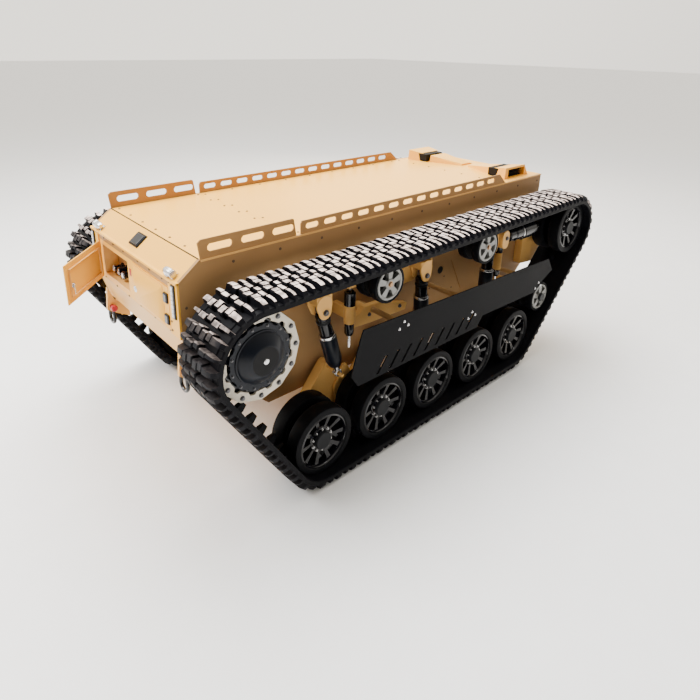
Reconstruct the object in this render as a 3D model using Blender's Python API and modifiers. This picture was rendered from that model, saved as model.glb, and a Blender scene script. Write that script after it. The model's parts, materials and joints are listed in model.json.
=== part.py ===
"""Tracked robot chassis: a sheet-metal hull on two rubber tracks, with sprung road wheels.

Metres, +Z up. The front, with the two doors and the lamps, faces -X, and the robot's left side is -Y.
The origin is on the ground, in the middle of the object's box.
"""

import math

import bmesh
import bpy

# ---- driving dimensions ----
HULL_HALF = 0.35          # half the hull's width
DECK_Z = 0.84             # top of the deck
WALL = 0.012              # hull wall, with its inner flange
SHEET = 0.006             # deck panels
GAP = 0.0003              # between touching pieces
FRONT_X = -0.964          # front face with the doors
DECK_X = -0.894           # front edge of the deck
NOSE_Z = 0.785            # lower edge of the sloping nose
FACE_Z = 0.598            # lower edge of the front face
SPLIT_Z = 0.600           # seam between the front and the belly
CHIN_X, CHIN_Z = -0.93, 0.49
BELLY_Z = 0.24
BELLY_X0, BELLY_X1 = -0.66, 0.80
REAR_X, REAR_Z = 1.0375, 0.45
SEAM_X = -0.52            # joint between the two deck panels
DECK_END = 0.7145         # rear edge of the main panel

TRACK_IN, TRACK_OUT = 0.398, 0.603
BELT = 0.018              # belt thickness under the lugs
TREAD = 0.042             # belt and lugs together
LUG_PITCH = 0.07          # a wide and a narrow lug, drawn here as one
LUG_LENGTH = 0.050
RUN_CLEAR = 0.0015        # wheel to belt

WHEEL_R = 0.125
WHEEL_IN, WHEEL_OUT = 0.43, 0.571
WHEEL_X = [-0.5835 + 0.289 * i for i in range(5)]
WHEEL_Z = TREAD + RUN_CLEAR + WHEEL_R
DISC_WIDTH = 0.056        # each of a wheel's two rims
SPROCKET = (-0.8285, 0.587, 0.145)   # x, z, radius
IDLER = (0.989, 0.615, 0.125)
ROLLER_R = 0.0735
ROLLERS = [-0.276, 0.312]            # x of the two upper rollers
LOW_ROLLER = (0.772, 0.311)
ROLLER_IN, ROLLER_OUT = 0.447, 0.553
ROLLER_DISC = 0.038       # each of a roller's two discs
AXLE_R = 0.015
BORE_CLEAR = 0.0005

ARM_IN, ARM_OUT = 0.362, 0.402       # swing arm plates
PIVOT_R = 0.022
ARMS = [                             # wheels, pivot, damper lug, damper top pivot
    ((0, 1), (-0.150, 0.335), (-0.430, 0.322), (-0.512, 0.598)),
    ((2,), (0.140, 0.335), (0.030, 0.335), (0.010, 0.594)),
    ((3, 4), (0.715, 0.335), (0.470, 0.322), (0.470, 0.600)),
]
DAMPER_Y = 0.455
DAMPER_R, SLEEVE_R = 0.025, 0.031
EYE_R = 0.016
PIN_R = 0.008
LUG_PIN_R = 0.006         # the arm's pin in the damper's lower eye, which it leaves slack

GUARD_IN, GUARD_OUT = 0.579, 0.584
GUARD_POSTS = [(-0.228, 0.50), (0.193, 0.46), (0.690, 0.42)]

HOOD_BASE_X = 0.766       # front edge of the raised air outlets
HOOD_HALF = 0.31
HOOD_RISE = 0.054

RAIL_THICK = 0.004
FRONT_RAIL_RISE, SIDE_RAIL_RISE = 0.062, 0.047
FRONT_SLOTS, SIDE_SLOTS = 3, 14

DOOR_HINGE_Y, DOOR_EDGE_Y = 0.282, 0.022
DOOR_LOW, DOOR_HIGH = 0.606, 0.748
DOOR_THICK = 0.012
DOOR_FRAME = 0.014        # door opening's edge inside the door's own
DOOR_OPEN = math.radians(45)

BATTERY_X0, BATTERY_X1, BATTERY_HALF, BATTERY_RISE = -0.45, 0.35, 0.26, 0.25

SIDES = {"left": -1, "right": 1}

# ---- scene ----
for old in list(bpy.data.objects):
    bpy.data.objects.remove(old, do_unlink=True)

PARTS = bpy.data.collections.new("tracked_robot_chassis")
CUTTERS = bpy.data.collections.new("cutters")
for group in (PARTS, CUTTERS):
    bpy.context.scene.collection.children.link(group)


def material(name, colour, roughness, metallic=0.0):
    mat = bpy.data.materials.new(name)
    mat.use_nodes = True
    shader = mat.node_tree.nodes["Principled BSDF"]
    shader.inputs["Base Color"].default_value = (*colour, 1.0)
    shader.inputs["Roughness"].default_value = roughness
    shader.inputs["Metallic"].default_value = metallic
    return mat


SAND = ("sand_paint", (0.62, 0.45, 0.25), 0.35, 0.0)
SHADE = ("brown_paint", (0.34, 0.22, 0.11), 0.4, 0.0)
RUBBER = ("rubber", (0.02, 0.02, 0.022), 0.8, 0.0)
BLACK = ("black_coat", (0.02, 0.02, 0.022), 0.3, 0.2)
CHARCOAL = ("charcoal_plate", (0.05, 0.05, 0.055), 0.5, 0.3)
STEEL = ("steel", (0.55, 0.55, 0.55), 0.3, 1.0)
CELLS = ("battery_case", (0.08, 0.09, 0.12), 0.5, 0.0)


def keep(obj, name, look):
    """Names a finished piece, gives it its own material and files it with the parts."""
    obj.name = name
    obj.data.name = name
    obj.data.materials.clear()
    obj.data.materials.append(material(name + "_" + look[0], *look[1:]))
    file_in(obj, PARTS)
    return obj


def file_in(obj, group):
    for old in list(obj.users_collection):
        old.objects.unlink(obj)
    group.objects.link(obj)


def apply_scale(obj):
    obj.data.transform(obj.matrix_basis.to_3x3().to_4x4())
    obj.scale = (1, 1, 1)
    obj.rotation_euler = (0, 0, 0)
    return obj


def box(low, high):
    bpy.ops.mesh.primitive_cube_add(size=1)
    obj = bpy.context.object
    obj.location = [(a + b) / 2 for a, b in zip(low, high)]
    obj.scale = [b - a for a, b in zip(low, high)]
    bpy.context.view_layer.update()
    return apply_scale(obj)


def side_box(side, x_range, out_range, z_range):
    """A box whose second range is measured outwards from the centre line."""
    y_range = sorted(side * y for y in out_range)
    return box((x_range[0], y_range[0], z_range[0]), (x_range[1], y_range[1], z_range[1]))


def pin(side, radius, y_in, y_out, x, z, sides=12):
    """A cylinder along Y, from y_in to y_out outwards on one side."""
    bpy.ops.mesh.primitive_cylinder_add(vertices=sides, radius=radius, depth=y_out - y_in)
    obj = bpy.context.object
    obj.rotation_euler = (math.pi / 2, 0, 0)
    bpy.context.view_layer.update()
    apply_scale(obj)
    obj.location = (x, side * (y_in + y_out) / 2, z)
    return obj


def turned(side, profile, x, z, steps, closed=True):
    """Turns a profile of (radius, distance from the centre line) about a Y axis at x, z."""
    count = len(profile)
    edges = [(i, i + 1) for i in range(count - 1)]
    if closed:
        edges.append((count - 1, 0))
    mesh = bpy.data.meshes.new("turned")
    mesh.from_pydata([(radius, 0, out) for radius, out in profile], edges, [])
    obj = bpy.data.objects.new("turned", mesh)
    bpy.context.scene.collection.objects.link(obj)
    screw = obj.modifiers.new("turn", "SCREW")
    screw.steps = steps
    screw.render_steps = steps
    screw.use_merge_vertices = True
    screw.merge_threshold = 0.0001
    obj.rotation_euler = (-side * math.pi / 2, 0, 0)
    obj.location = (x, 0, z)
    return obj


def as_mesh(obj):
    """Swaps an object for a welded mesh of what its modifiers or curve make, in world space."""
    bpy.context.view_layer.update()
    evaluated = obj.evaluated_get(bpy.context.evaluated_depsgraph_get())
    mesh = bpy.data.meshes.new_from_object(evaluated)
    mesh.transform(obj.matrix_world)
    bpy.data.objects.remove(obj, do_unlink=True)
    weld(mesh)
    solid = bpy.data.objects.new("solid", mesh)
    bpy.context.scene.collection.objects.link(solid)
    return solid


def weld(mesh):
    shape = bmesh.new()
    shape.from_mesh(mesh)
    bmesh.ops.remove_doubles(shape, verts=shape.verts, dist=0.00002)
    bmesh.ops.recalc_face_normals(shape, faces=shape.faces)
    shape.to_mesh(mesh)
    shape.free()


def plate(loops, y_in, y_out, side=1):
    """Extrudes a flat outline of (x, z) points, with any holes after it, from y_in to y_out."""
    curve = bpy.data.curves.new("outline", "CURVE")
    curve.dimensions = "2D"
    curve.fill_mode = "BOTH"
    curve.extrude = (y_out - y_in) / 2
    for loop in loops:
        spline = curve.splines.new("POLY")
        spline.points.add(len(loop) - 1)
        for point, (x, z) in zip(spline.points, loop):
            point.co = (x, z, 0, 1)
        spline.use_cyclic_u = True
    obj = bpy.data.objects.new("outline", curve)
    bpy.context.scene.collection.objects.link(obj)
    obj.rotation_euler = (math.pi / 2, 0, 0)
    obj.location = (0, side * (y_in + y_out) / 2, 0)
    return as_mesh(obj)


def combine(target, tool, operation):
    """Adds a boolean of target with tool, and keeps the tool among the cutters."""
    file_in(tool, CUTTERS)
    tool.hide_render = True
    tool.display_type = "WIRE"
    change = target.modifiers.new(operation.lower(), "BOOLEAN")
    change.operation = operation
    change.solver = "EXACT"
    change.object = tool
    return target


def cut(target, *tools):
    for tool in tools:
        combine(target, tool, "DIFFERENCE")
    return target


def join(target, *tools):
    for tool in tools:
        combine(target, tool, "UNION")
    return target


def circle(x, z, radius, count=16):
    turns = [2 * math.pi * i / count for i in range(count)]
    return [(x + radius * math.cos(t), z + radius * math.sin(t)) for t in turns]


def hull_of(points):
    """The convex outline round a set of points, counter-clockwise."""
    points = sorted(set((round(x, 6), round(z, 6)) for x, z in points))
    halves = []
    for ordered in (points, points[::-1]):
        chain = []
        for p in ordered:
            while len(chain) > 1 and turn(chain[-2], chain[-1], p) <= 0:
                chain.pop()
            chain.append(p)
        halves.append(chain[:-1])
    return halves[0] + halves[1]


def turn(a, b, c):
    return (b[0] - a[0]) * (c[1] - a[1]) - (b[1] - a[1]) * (c[0] - a[0])


def link(side, ends, y_in, y_out):
    """A flat plate with round ends: ends is a list of (x, z, radius)."""
    points = [p for x, z, radius in ends for p in circle(x, z, radius, 8)]
    return plate([hull_of(points)], y_in, y_out, side)


def slot(x, z, length, height):
    """A slot with clipped corners, centred on x, z."""
    clip = height * 0.3
    half, tall = length / 2, height / 2
    corners = [(-half, -tall + clip), (-half + clip, -tall), (half - clip, -tall), (half, -tall + clip),
               (half, tall - clip), (half - clip, tall), (-half + clip, tall), (-half, tall - clip)]
    return [(x + u, z + v) for u, v in corners]


# ---- track path ----
LOOP = [SPROCKET, (WHEEL_X[0], WHEEL_Z, WHEEL_R), (WHEEL_X[-1], WHEEL_Z, WHEEL_R), IDLER]


def track_path():
    """The belt's inner line as straight and round stretches: (start, end) or (centre, radius, from, to)."""
    stretches = []
    count = len(LOOP)
    angles = []
    for i in range(count):
        ax, az, ar = LOOP[i]
        bx, bz, br = LOOP[(i + 1) % count]
        along = math.atan2(bz - az, bx - ax)
        tilt = math.asin((ar - br) / math.hypot(bx - ax, bz - az))
        angles.append(along - math.pi / 2 + tilt)
    for i in range(count):
        ax, az, ar = LOOP[i]
        radius = ar + RUN_CLEAR
        arrive, leave = angles[i - 1], angles[i]
        while leave < arrive:
            leave += 2 * math.pi
        stretches.append(("round", (ax, az), radius, arrive, leave))
        bx, bz, br = LOOP[(i + 1) % count]
        start = (ax + radius * math.cos(angles[i]), az + radius * math.sin(angles[i]))
        end_radius = br + RUN_CLEAR
        end = (bx + end_radius * math.cos(angles[i]), bz + end_radius * math.sin(angles[i]))
        stretches.append(("straight", start, end, angles[i]))
    return stretches


PATH = track_path()


def stretch_length(piece):
    if piece[0] == "round":
        return piece[2] * (piece[4] - piece[3])
    return math.dist(piece[1], piece[2])


def on_track(distance, offset):
    """The point at a distance along the inner line and an offset outwards from it."""
    for piece in PATH:
        length = stretch_length(piece)
        if distance <= length:
            break
        distance -= length
    if piece[0] == "round":
        angle = piece[3] + distance / piece[2]
        reach = piece[2] + offset
        return (piece[1][0] + reach * math.cos(angle), piece[1][1] + reach * math.sin(angle))
    share = min(distance / length, 1.0)
    x = piece[1][0] + share * (piece[2][0] - piece[1][0]) + offset * math.cos(piece[3])
    z = piece[1][1] + share * (piece[2][1] - piece[1][1]) + offset * math.sin(piece[3])
    return (x, z)


TRACK_LENGTH = sum(stretch_length(piece) for piece in PATH)


def inner_loop():
    points = []
    for piece in PATH:
        if piece[0] == "round":
            count = max(2, math.ceil((piece[4] - piece[3]) / math.radians(12)))
            for i in range(count + 1):
                angle = piece[3] + (piece[4] - piece[3]) * i / count
                points.append((piece[1][0] + piece[2] * math.cos(angle), piece[1][1] + piece[2] * math.sin(angle)))
    return points


def outer_loop():
    lugs = round(TRACK_LENGTH / LUG_PITCH)
    pitch = TRACK_LENGTH / lugs
    points = []
    for i in range(lugs):
        start = i * pitch
        points.append(on_track(start, BELT))
        points.append(on_track(start + 0.1 * LUG_LENGTH, TREAD))
        points.append(on_track(start + 0.9 * LUG_LENGTH, TREAD))
        points.append(on_track(start + LUG_LENGTH, BELT))
    return points


def build_track(name, side):
    keep(plate([outer_loop(), inner_loop()], TRACK_IN, TRACK_OUT, side), "track_" + name, RUBBER)


# ---- hull ----
def hull_outline(inset, top):
    """The hull's side view, moved in by inset, and open-ended at the given top."""
    return [
        (DECK_X + inset * 0.35, top), (DECK_X + inset * 0.35, DECK_Z - inset * 0.6),
        (FRONT_X + inset, NOSE_Z - inset * 0.13), (FRONT_X + inset, FACE_Z + inset * 0.15),
        (CHIN_X + inset, CHIN_Z + inset * 0.4), (BELLY_X0 + inset * 0.4, BELLY_Z + inset),
        (BELLY_X1 - inset * 0.3, BELLY_Z + inset), (REAR_X - inset, REAR_Z + inset * 0.4), (REAR_X - inset, top),
    ]


def deck_rebate():
    """The room that the deck panels take between the side walls' lips."""
    return box((DECK_X + 0.004, -HULL_HALF + SHEET, DECK_Z - SHEET - GAP),
               (REAR_X - SHEET, HULL_HALF - SHEET, DECK_Z + 0.02))


def hull_strip():
    """Nose, front, belly and rear as one bent strip between the side walls."""
    half = HULL_HALF - WALL - GAP
    strip = plate([hull_outline(0.0, DECK_Z)[1:]], -half, half)
    hollow = plate([hull_outline(WALL, DECK_Z + 0.05)], -half - 0.02, half + 0.02)
    return cut(strip, hollow, deck_rebate())


def build_hull():
    """Cuts the bent strip at the seam into the front, with the door openings, and the belly."""
    front = cut(hull_strip(), box((FRONT_X + 0.16, -1, 0), (2, 1, 1)), box((-2, -1, 0), (-0.7, 1, SPLIT_Z)))
    for side in SIDES.values():
        cut(front, side_box(side, (FRONT_X - 0.05, FRONT_X + 0.05),
                            (DOOR_EDGE_Y + DOOR_FRAME, DOOR_HINGE_Y - DOOR_FRAME),
                            (DOOR_LOW + 0.012, DOOR_HIGH - 0.012)))
    keep(front, "hull_front", SAND)
    keep(cut(hull_strip(), box((-2, -1, SPLIT_Z - GAP), (-0.7, 1, 1))), "hull_belly", SAND)


def build_side_wall(name, side):
    """A side wall with its stub axles and the dampers' top pins."""
    wall = plate([hull_outline(0.0, DECK_Z)[1:]], HULL_HALF - WALL, HULL_HALF, side)
    cut(wall, deck_rebate(), pin(side, 0.034, 0.32, 0.37, SPROCKET[0], SPROCKET[1], 20))
    root = HULL_HALF - 0.004
    for x in ROLLERS:
        join(wall, pin(side, AXLE_R, root, ROLLER_OUT, x, roller_z(x)))
    join(wall, pin(side, AXLE_R, root, ROLLER_OUT + 0.03, *LOW_ROLLER))
    join(wall, pin(side, AXLE_R + 0.006, root, WHEEL_OUT - 0.006, *IDLER[:2]))
    for _, pivot, _, top in ARMS:
        join(wall, pin(side, PIVOT_R, root, ARM_OUT, *pivot))
        join(wall, pin(side, PIN_R, root, DAMPER_Y + 0.03, *top))
    keep(wall, "hull_side_" + name, SAND)


def roller_z(x):
    """Height of an upper roller that just clears the belt's top run."""
    top = next(piece for piece in PATH if piece[0] == "straight" and piece[1][1] > 0.6 and piece[2][1] > 0.6)
    share = (x - top[1][0]) / (top[2][0] - top[1][0])
    return top[1][1] + share * (top[2][1] - top[1][1]) - ROLLER_R - RUN_CLEAR


def build_deck():
    low, high = DECK_Z - SHEET, DECK_Z
    half = HULL_HALF - SHEET - GAP
    front = box((DECK_X + 0.005, -half, low), (SEAM_X - GAP, half, high))
    keep(front, "front_deck_panel", SAND)
    main = box((SEAM_X + GAP, -half, low), (DECK_END - GAP, half, high))
    keep(main, "main_deck_panel", SAND)


def build_rear_deck():
    """The rear panel with its two raised air outlets, which rise from the middle to the sides."""
    half = HULL_HALF - SHEET - GAP
    panel = box((DECK_END + GAP, -half, DECK_Z - SHEET), (REAR_X - SHEET - GAP, half, DECK_Z))
    for side in SIDES.values():
        hood = plate([[(HOOD_BASE_X, DECK_Z - 0.003), (REAR_X - 0.06, DECK_Z - 0.003),
                       (REAR_X - 0.10, DECK_Z + HOOD_RISE), (HOOD_BASE_X + 0.006, DECK_Z + HOOD_RISE)]],
                     0.02, HOOD_HALF, side)
        wedge(hood)
        mouth = side_box(side, (HOOD_BASE_X + 0.02, REAR_X - 0.11), (HOOD_HALF - 0.12, HOOD_HALF + 0.05),
                         (DECK_Z + 0.006, DECK_Z + HOOD_RISE - 0.008))
        wedge(mouth)
        join(panel, cut(hood, mouth))
    keep(panel, "rear_deck_panel", SAND)


def wedge(obj):
    """Lowers a hood towards the centre line, and sweeps its front edge back there."""
    for vertex in obj.data.vertices:
        place = obj.matrix_world @ vertex.co
        share = min(abs(place.y) / HOOD_HALF, 1.0)
        if place.z > DECK_Z:
            vertex.co.z += (place.z - DECK_Z) * (0.10 + 0.90 * share) - (place.z - DECK_Z)
        vertex.co.x += 0.11 * (1.0 - share) * (place.x < 0.9)


def build_rails(name, side):
    """The slotted rails along the deck's edge: a short one in front and a long one beside the main panel."""
    y_in, y_out = HULL_HALF - RAIL_THICK, HULL_HALF
    base = DECK_Z + GAP
    x0, x1, rise = DECK_X + 0.004, SEAM_X - 0.012, FRONT_RAIL_RISE
    outline = [(x0, base), (x1, base), (x1 - 0.010, base + 0.94 * rise), (x1 - 0.016, base + rise),
               (x0 + 0.004, base + rise), (x0 - 0.007, base + 0.86 * rise)]
    slots = [slot(x0 + 0.068 + 0.118 * i, base + 0.032, 0.085, 0.024) for i in range(FRONT_SLOTS)]
    keep(plate([outline] + slots, y_in, y_out, side), "front_rail_" + name, SHADE)
    x0, x1, rise = SEAM_X + 0.006, DECK_END, SIDE_RAIL_RISE
    outline = [(x0, base), (x1, base), (x1 - 0.055, base + rise), (x0 + 0.006, base + rise), (x0, base + 0.8 * rise)]
    pitch = (x1 - x0 - 0.09) / SIDE_SLOTS
    slots = [slot(x0 + 0.050 + pitch * i, base + 0.025, pitch * 0.68, 0.020) for i in range(SIDE_SLOTS)]
    keep(plate([outline] + slots, y_in, y_out, side), "side_rail_" + name, SHADE)


def build_door(name, side, opening):
    """A door with a raised tray, hinged on its outer edge and turned open by the given angle."""
    back = FRONT_X - GAP
    front = back - DOOR_THICK
    leaf = side_box(side, (back - 0.004, back), (DOOR_EDGE_Y, DOOR_HINGE_Y), (DOOR_LOW, DOOR_HIGH))
    tray = side_box(side, (front, back - 0.003), (DOOR_EDGE_Y + 0.004, DOOR_HINGE_Y - 0.03),
                    (DOOR_LOW + 0.004, DOOR_HIGH - 0.004))
    for vertex in tray.data.vertices:
        if vertex.co.x < 0:
            vertex.co.y *= 0.9
            vertex.co.z *= 0.85
    leaf = as_mesh(join(leaf, tray, *[
        side_box(side, (front - 0.002, back - 0.002), (DOOR_HINGE_Y - 0.026, DOOR_HINGE_Y - 0.002), (z, z + 0.03))
        for z in (DOOR_LOW + 0.02, DOOR_HIGH - 0.05)]))
    axis = (front - 0.003, side * (DOOR_HINGE_Y + 0.001), (DOOR_LOW + DOOR_HIGH) / 2)
    for vertex in leaf.data.vertices:
        vertex.co = [c - a for c, a in zip(vertex.co, axis)]
    leaf.location = axis
    leaf.rotation_euler = (0, 0, -side * opening)
    keep(leaf, "door_" + name, SAND)


# ---- running gear ----
def twin_profile(radius, bore):
    """A wheel with two rims, as (radius, distance from the centre line)."""
    rim = radius - 0.027
    return [
        (bore, WHEEL_OUT - 0.011), (rim, WHEEL_OUT - 0.011), (rim, WHEEL_OUT), (radius, WHEEL_OUT),
        (radius, WHEEL_OUT - DISC_WIDTH), (radius - 0.035, WHEEL_OUT - DISC_WIDTH),
        (radius - 0.035, WHEEL_IN + DISC_WIDTH), (radius, WHEEL_IN + DISC_WIDTH), (radius, WHEEL_IN), (bore, WHEEL_IN),
    ]


def build_wheels(name, side):
    """Road wheels, idler and return rollers."""
    for i, x in enumerate(WHEEL_X):
        wheel = turned(side, twin_profile(WHEEL_R, AXLE_R + BORE_CLEAR), x, WHEEL_Z, 20)
        keep(wheel, f"road_wheel_{name}_{i + 1}", BLACK)
    idler = turned(side, twin_profile(IDLER[2], AXLE_R + 0.006 + BORE_CLEAR), IDLER[0], IDLER[1], 20)
    keep(idler, "idler_wheel_" + name, BLACK)
    places = [(x, roller_z(x), 0.0) for x in ROLLERS] + [(*LOW_ROLLER, 0.02)]
    for i, (x, z, out) in enumerate(places):
        bore = AXLE_R + BORE_CLEAR
        top, low = ROLLER_OUT + out, ROLLER_IN
        profile = [(bore, top), (ROLLER_R, top), (ROLLER_R, ROLLER_OUT - ROLLER_DISC),
                   (ROLLER_R - 0.03, ROLLER_OUT - ROLLER_DISC), (ROLLER_R - 0.03, low + ROLLER_DISC),
                   (ROLLER_R, low + ROLLER_DISC), (ROLLER_R, low), (bore, low)]
        keep(turned(side, profile, x, z, 16), f"return_roller_{name}_{i + 1}", STEEL)


def build_sprocket(name, side):
    """The drive sprocket with its stub shaft, bolt ring and domed hub cover."""
    radius = SPROCKET[2]
    profile = [
        (0.0, 0.592), (0.042, 0.592), (0.088, 0.568), (0.095, 0.562), (radius - 0.004, 0.562), (radius, 0.558),
        (radius, 0.512), (radius - 0.035, 0.512), (radius - 0.035, 0.488), (radius, 0.488),
        (radius, 0.435), (0.06, 0.435), (0.06, 0.40), (0.030, 0.40), (0.030, 0.28), (0.0, 0.28),
    ]
    keep(turned(side, profile, SPROCKET[0], SPROCKET[1], 20, closed=False), "drive_sprocket_" + name, CHARCOAL)


def build_drive(name, side):
    """The motor inside the hull, round the sprocket's shaft."""
    profile = [(0.031, 0.337), (0.080, 0.337), (0.080, 0.325), (0.068, 0.325), (0.068, 0.10), (0.031, 0.10)]
    motor = turned(side, profile, SPROCKET[0], SPROCKET[1], 16)
    keep(motor, "drive_motor_" + name, STEEL)


def build_arm(name, side, number):
    """A trailing arm with its wheels' axles and the lug for its damper."""
    wheels, pivot, lug, _ = ARMS[number]
    axles = [(WHEEL_X[i], WHEEL_Z) for i in wheels]
    beam = link(side, [(*axles[-1], 0.032), (*pivot, 0.04)], ARM_IN, ARM_OUT)
    middle = (axles[0][0] + axles[-1][0]) / 2
    reach = 0.008 + 0.7 * (axles[-1][0] - axles[0][0]) / 2
    parts = [link(side, [(middle - reach, WHEEL_Z, 0.026), (middle + reach, WHEEL_Z, 0.026),
                         (*lug, 0.020)], ARM_IN, ARM_OUT),
             pin(side, LUG_PIN_R, ARM_OUT - 0.01, DAMPER_Y + 0.03, *lug)]
    if len(axles) > 1:
        parts.append(link(side, [(x, z, 0.031) for x, z in axles], ARM_IN, ARM_OUT))
    parts += [pin(side, AXLE_R, ARM_OUT - 0.01, WHEEL_OUT - 0.015, x, z) for x, z in axles]
    join(beam, *parts)
    cut(beam, pin(side, PIVOT_R + BORE_CLEAR, ARM_IN - 0.01, ARM_OUT + 0.01, *pivot))
    keep(beam, f"swing_arm_{name}_{number + 1}", SAND)


def build_damper(name, side, number):
    """A telescopic damper: the body hangs from the hull, and the sleeve with its eye sits on the arm's lug."""
    _, _, low, top = ARMS[number]
    length = math.dist(low, top)
    tube_end = length * 0.52
    sleeve_top = length * 0.36
    bore_end = tube_end + 0.05
    sleeve_end = length - EYE_R - 0.02
    body = shaft([(0.0, -0.012), (DAMPER_R, -0.012), (DAMPER_R, -tube_end), (0.0, -tube_end)])
    body = join(body, eye(0.0, 0.014))
    body = cut(body, eye(0.0, PIN_R + BORE_CLEAR, 0.06))
    rod = shaft([(0.0, -bore_end), (DAMPER_R + 0.0008, -bore_end), (DAMPER_R + 0.0008, -sleeve_top),
                 (SLEEVE_R, -sleeve_top), (SLEEVE_R, -sleeve_end), (0.009, -sleeve_end), (0.009, -length + 0.004),
                 (0.0, -length + 0.004)])
    rod = join(rod, eye(-length, 0.014))
    rod = cut(rod, eye(-length, PIN_R + BORE_CLEAR, 0.06))
    lean = math.atan2(top[0] - low[0], top[1] - low[1])
    for piece, title in ((body, "damper_body_"), (rod, "damper_sleeve_")):
        piece = as_mesh(piece)
        piece.rotation_euler = (0, lean, 0)
        piece.location = (top[0], side * DAMPER_Y, top[1])
        keep(piece, f"{title}{name}_{number + 1}", BLACK)


def shaft(profile):
    """A piece turned about its own Z axis, at the origin."""
    mesh = bpy.data.meshes.new("shaft")
    mesh.from_pydata([(radius, 0, z) for radius, z in profile], [(i, i + 1) for i in range(len(profile) - 1)], [])
    obj = bpy.data.objects.new("shaft", mesh)
    bpy.context.scene.collection.objects.link(obj)
    screw = obj.modifiers.new("turn", "SCREW")
    screw.steps = 12
    screw.render_steps = 12
    screw.use_merge_vertices = True
    screw.merge_threshold = 0.0001
    return as_mesh(obj)


def eye(z, radius, width=0.024):
    """A cylinder along Y at the origin, at the given height."""
    return pin(1, radius, -width / 2, width / 2, 0.0, z, 14)


def build_guard(name, side):
    """The slotted guard plate on its three posts."""
    outline = [
        (-0.430, 0.546), (-0.442, 0.517), (-0.481, 0.385), (-0.448, 0.336), (0.240, 0.330), (0.275, 0.374),
        (0.690, 0.362), (0.712, 0.385), (0.832, 0.44), (0.785, 0.507),
    ]
    slots = [[(x - 0.030, 0.346), (x - 0.016, 0.346), (x + 0.030, 0.406), (x + 0.016, 0.406)]
             for x in (-0.332 + 0.0645 * i for i in range(9))]
    guard = plate([outline], GUARD_IN, GUARD_OUT, side)
    cut(guard, *[plate([points], GUARD_IN - 0.01, GUARD_OUT + 0.01, side) for points in slots])
    posts = [pin(side, 0.011, HULL_HALF + GAP, GUARD_IN + 0.002, x, z, 12) for x, z in GUARD_POSTS]
    keep(join(guard, *posts), "guard_plate_" + name, CHARCOAL)


def build_tow_bracket(name, side):
    """The gusset under the front corner, which carries the tow shackle."""
    y_in, y_out = 0.296, 0.308
    outline = [(CHIN_X - 0.028, 0.545), (CHIN_X - 0.036, 0.452), (CHIN_X - 0.014, 0.435), (CHIN_X + 0.05, 0.400),
               (CHIN_X + 0.05, 0.435), (CHIN_X - 0.0035, 0.486)]
    gusset = plate([outline, circle(CHIN_X - 0.018, 0.462, 0.009, 12)], y_in, y_out, side)
    keep(gusset, "tow_bracket_" + name, SAND)


def build_battery():
    low = (BATTERY_X0, -BATTERY_HALF, BELLY_Z + WALL + GAP)
    keep(box(low, (BATTERY_X1, BATTERY_HALF, BELLY_Z + BATTERY_RISE)), "battery_box", CELLS)


build_hull()
build_deck()
build_rear_deck()
build_battery()
for side_name, side_sign in SIDES.items():
    build_side_wall(side_name, side_sign)
    build_rails(side_name, side_sign)
    build_door(side_name, side_sign, DOOR_OPEN if side_name == "right" else 0.0)
    build_track(side_name, side_sign)
    build_sprocket(side_name, side_sign)
    build_drive(side_name, side_sign)
    build_wheels(side_name, side_sign)
    build_guard(side_name, side_sign)
    build_tow_bracket(side_name, side_sign)
    for arm_number in range(len(ARMS)):
        build_arm(side_name, side_sign, arm_number)
        build_damper(side_name, side_sign, arm_number)
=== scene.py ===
"""Looks of the tracked robot chassis: finishes, and the detail that the plain solids leave out.

Metres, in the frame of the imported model: +Z up, the front with its doors and lamps towards -X,
and the robot's left side towards -Y.
"""

import json
import math

import bmesh
import bpy
from mathutils import Matrix, Vector


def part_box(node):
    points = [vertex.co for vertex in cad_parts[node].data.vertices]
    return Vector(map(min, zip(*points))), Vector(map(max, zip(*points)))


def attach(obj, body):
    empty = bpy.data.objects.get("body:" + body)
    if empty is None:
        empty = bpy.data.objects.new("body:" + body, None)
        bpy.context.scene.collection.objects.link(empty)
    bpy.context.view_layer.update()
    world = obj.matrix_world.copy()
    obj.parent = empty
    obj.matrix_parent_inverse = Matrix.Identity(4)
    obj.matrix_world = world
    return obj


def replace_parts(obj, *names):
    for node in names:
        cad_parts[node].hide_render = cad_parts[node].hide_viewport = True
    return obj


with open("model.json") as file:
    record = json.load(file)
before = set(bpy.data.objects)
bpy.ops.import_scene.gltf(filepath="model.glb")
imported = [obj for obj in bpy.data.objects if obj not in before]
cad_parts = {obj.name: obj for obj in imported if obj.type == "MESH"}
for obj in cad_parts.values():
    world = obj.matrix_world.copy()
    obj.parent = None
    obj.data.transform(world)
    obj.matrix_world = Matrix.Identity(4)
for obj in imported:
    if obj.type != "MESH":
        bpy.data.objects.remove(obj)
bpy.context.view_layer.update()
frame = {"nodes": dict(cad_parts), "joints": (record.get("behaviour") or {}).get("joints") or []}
joints = {joint["name"]: joint for joint in frame["joints"]}
SIDES = {"left": -1, "right": 1}
CHASSIS = "chassis"

# ---- sizes read from the frame ----
hull_low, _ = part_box("hull_front")
deck_low, deck_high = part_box("front_deck_panel")
main_low, main_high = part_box("main_deck_panel")
track_low, track_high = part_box("track_right")
DECK_Z = deck_high.z
HULL_HALF = 0.35            # half the hull's width
TRACK_IN, TRACK_OUT = track_low.y, track_high.y
FRONT_X = hull_low.x
SEAM_X = main_low.x


def joint_place(name):
    place = joints[name]["pos_m"]
    return place[0], place[2]


def half_height(node):
    low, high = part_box(node)
    return (high.z - low.z) / 2


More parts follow.
